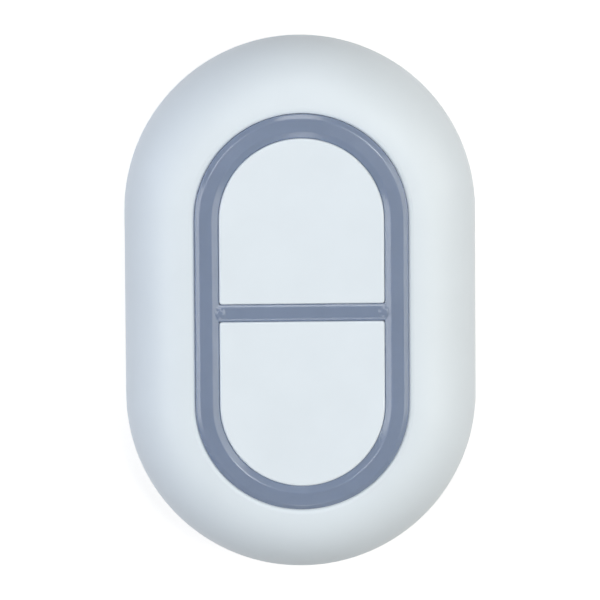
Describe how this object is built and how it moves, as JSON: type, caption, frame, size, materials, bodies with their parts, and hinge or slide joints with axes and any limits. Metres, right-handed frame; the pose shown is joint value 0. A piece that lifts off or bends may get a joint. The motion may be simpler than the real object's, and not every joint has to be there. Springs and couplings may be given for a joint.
{
  "type": "wireless panic button",
  "caption": "Pocket-size oval radio alarm button: a pillow-shaped white box with half-oval press keys in a soft grey surround.",
  "frame": {"origin": "middle of the flat rear face", "axes": "+Z out of the front through the keys, +Y towards the upper key along the longer side, +X across the button"},
  "size_m": [0.04, 0.061, 0.0135],
  "materials": {
    "housing_plastic": "fine satin moulding",
    "key_plastic": "fine satin moulding",
    "surround_silicone": "satin silicone",
    "seal_rubber": "matt",
    "frame_plastic": "moulded",
    "board_laminate": "solder mask",
    "cell_steel": "brushed can",
    "can_steel": "pressed sheet",
    "screw_steel": "zinc plated",
    "contact_brass": "spring sheet",
    "black_plastic": "moulded",
    "plunger_plastic": "moulded",
    "chip_black": "moulded",
    "chip_ceramic": "fired",
    "lamp_clear": "clear resin"
  },
  "bodies": {
    "root": {"front_housing": "housing_plastic", "rear_housing": "housing_plastic", "silicone_surround": "surround_silicone", "housing_seal": "seal_rubber", "inner_frame": "frame_plastic", "circuit_board": "board_laminate", "coin_cell": "cell_steel", "battery_holder": "black_plastic", "positive_contact": "contact_brass", "negative_contact": "contact_brass", "radio_controller": "chip_black", "crystal": "can_steel", "capacitors": "chip_ceramic", "antenna": "contact_brass", "status_led": "lamp_clear", "housing_screws": "screw_steel", "board_screws": "screw_steel", "upper_switch_base": "black_plastic", "upper_switch_cover": "can_steel", "upper_switch_dome": "can_steel", "upper_switch_terminals": "contact_brass", "lower_switch_base": "black_plastic", "lower_switch_cover": "can_steel", "lower_switch_dome": "can_steel", "lower_switch_terminals": "contact_brass"},
    "upper_key": {"upper_key": "key_plastic", "upper_switch_plunger": "plunger_plastic"},
    "lower_key": {"lower_key": "key_plastic", "lower_switch_plunger": "plunger_plastic"}
  },
  "joints": [
    {"name": "upper_key_press", "type": "slide", "parent": "root", "child": "upper_key", "axis": [0, 0, -1], "range_m": [0, 0.0004], "stiffness_N_per_m": 3000, "deforming": ["upper_switch_dome"]},
    {"name": "lower_key_press", "type": "slide", "parent": "root", "child": "lower_key", "axis": [0, 0, -1], "range_m": [0, 0.0004], "stiffness_N_per_m": 3000, "deforming": ["lower_switch_dome"]}
  ]
}
